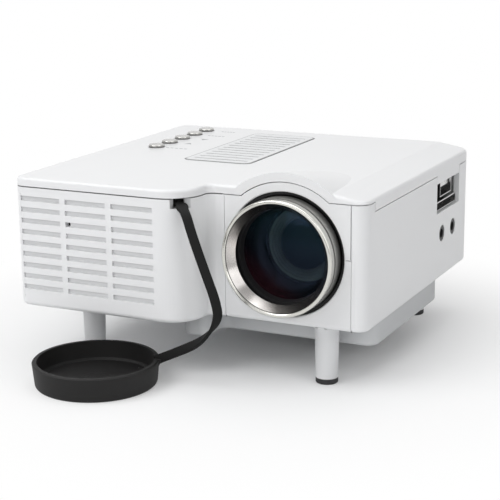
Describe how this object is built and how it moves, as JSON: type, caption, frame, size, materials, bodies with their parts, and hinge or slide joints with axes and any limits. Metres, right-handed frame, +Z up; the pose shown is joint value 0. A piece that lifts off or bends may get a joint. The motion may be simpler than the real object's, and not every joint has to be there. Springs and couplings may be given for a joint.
{
  "type": "compact video projector",
  "caption": "Compact video projector: offset lens in a turning focus ring, grid of front slots, row of top keys, media sockets at the side, screw legs and a rubber lens cap on a strap.",
  "frame": {"origin": "on the surface that the feet stand on, under the middle of the housing", "axes": "+Z up, -Y out of the lens, +X to the right seen from the front"},
  "size_m": [0.127, 0.1587, 0.0734],
  "materials": {
    "shell_white": "moulded, slightly glossy",
    "panel_white": "satin",
    "tub_grey": "satin",
    "key_silver": "silver lacquer",
    "ring_steel": "turned",
    "barrel_dark": "dark anodised",
    "black_plastic": "matt",
    "lens_glass": "coated",
    "clear_glass": "clear",
    "board_green": "satin",
    "heat_aluminium": "extruded",
    "socket_steel": "plated",
    "screw_steel": "plated",
    "leg_lacquer": "satin lacquer",
    "foot_rubber": "matt",
    "cap_rubber": "matt"
  },
  "bodies": {
    "projector": {"av_jack": "black_plastic", "base_tub": "tub_grey", "card_socket": "socket_steel", "condenser_lens": "clear_glass", "dc_jack": "black_plastic", "fan_frame": "black_plastic", "front_fresnel": "clear_glass", "heatsink": "heat_aluminium", "ir_receiver": "black_plastic", "keypad_board": "board_green", "lcd_frame": "black_plastic", "lcd_panel": "clear_glass", "led_board": "board_green", "lens_bezel": "shell_white", "lens_sleeve": "black_plastic", "lid_screws": "screw_steel", "light_funnel": "black_plastic", "light_seal": "black_plastic", "lower_housing": "shell_white", "main_board": "board_green", "optical_housing": "black_plastic", "phone_jack": "black_plastic", "port_board": "board_green", "rear_fresnel": "clear_glass", "speaker": "black_plastic", "strap_anchor": "cap_rubber", "top_cover": "shell_white", "top_grip_panel": "panel_white", "tub_screws": "screw_steel", "usb_socket": "socket_steel", "vga_socket": "black_plastic"},
    "button_1": {"menu_button_1": "key_silver"},
    "button_2": {"menu_button_2": "key_silver"},
    "button_3": {"menu_button_3": "key_silver"},
    "button_4": {"menu_button_4": "key_silver"},
    "button_5": {"menu_button_5": "key_silver"},
    "focus_ring": {"chrome_ring": "ring_steel", "focus_barrel": "barrel_dark"},
    "lens_group": {"lens_cell": "black_plastic", "lens_baffle": "black_plastic", "front_lens": "lens_glass", "lens_spacer": "black_plastic", "rear_lens": "lens_glass", "lens_retaining_ring": "screw_steel"},
    "fan": {"fan_rotor": "black_plastic"},
    "leg_front_left": {"leg_front_left": "leg_lacquer", "foot_front_left": "foot_rubber"},
    "leg_front_right": {"leg_front_right": "leg_lacquer", "foot_front_right": "foot_rubber"},
    "leg_rear_left": {"leg_rear_left": "leg_lacquer", "foot_rear_left": "foot_rubber"},
    "leg_rear_right": {"leg_rear_right": "leg_lacquer", "foot_rear_right": "foot_rubber"},
    "cap": {"cap_strap": "cap_rubber", "lens_cap": "cap_rubber"}
  },
  "joints": [
    {"name": "press_1", "type": "slide", "parent": "projector", "child": "button_1", "axis": [0, 0, -1], "range_m": [0, 0.0005], "stiffness_N_per_m": 400, "springref_m": -0.0002},
    {"name": "press_2", "type": "slide", "parent": "projector", "child": "button_2", "axis": [0, 0, -1], "range_m": [0, 0.0005], "stiffness_N_per_m": 400, "springref_m": -0.0002},
    {"name": "press_3", "type": "slide", "parent": "projector", "child": "button_3", "axis": [0, 0, -1], "range_m": [0, 0.0005], "stiffness_N_per_m": 400, "springref_m": -0.0002},
    {"name": "press_4", "type": "slide", "parent": "projector", "child": "button_4", "axis": [0, 0, -1], "range_m": [0, 0.0005], "stiffness_N_per_m": 400, "springref_m": -0.0002},
    {"name": "press_5", "type": "slide", "parent": "projector", "child": "button_5", "axis": [0, 0, -1], "range_m": [0, 0.0005], "stiffness_N_per_m": 400, "springref_m": -0.0002},
    {"name": "focus_turn", "type": "hinge", "parent": "projector", "child": "focus_ring", "pos_m": [0.0341, -0.045, 0.0454], "axis": [0, 1, 0], "range_deg": [0, 270]},
    {"name": "lens_travel", "type": "slide", "parent": "projector", "child": "lens_group", "axis": [0, -1, 0], "range_m": [0, 0.003]},
    {"name": "fan_spin", "type": "hinge", "parent": "projector", "child": "fan", "pos_m": [0.0341, 0.057, 0.0454], "axis": [0, 1, 0], "continuous": true},
    {"name": "leg_front_left_out", "type": "slide", "parent": "projector", "child": "leg_front_left", "axis": [0, 0, -1], "range_m": [0, 0.0025]},
    {"name": "leg_front_right_out", "type": "slide", "parent": "projector", "child": "leg_front_right", "axis": [0, 0, -1], "range_m": [0, 0.0025]},
    {"name": "leg_rear_left_out", "type": "slide", "parent": "projector", "child": "leg_rear_left", "axis": [0, 0, -1], "range_m": [0, 0.0025]},
    {"name": "leg_rear_right_out", "type": "slide", "parent": "projector", "child": "leg_rear_right", "axis": [0, 0, -1], "range_m": [0, 0.0025]},
    {"name": "cap_swing", "type": "hinge", "parent": "projector", "child": "cap", "pos_m": [0, -0.0585, 0.063], "axis": [0, 0, 1], "range_deg": [-20, 28]}
  ],
  "couplings": [
    {"joint": "focus_turn", "follows": "lens_travel", "rad_per_m": 1570.8}
  ]
}
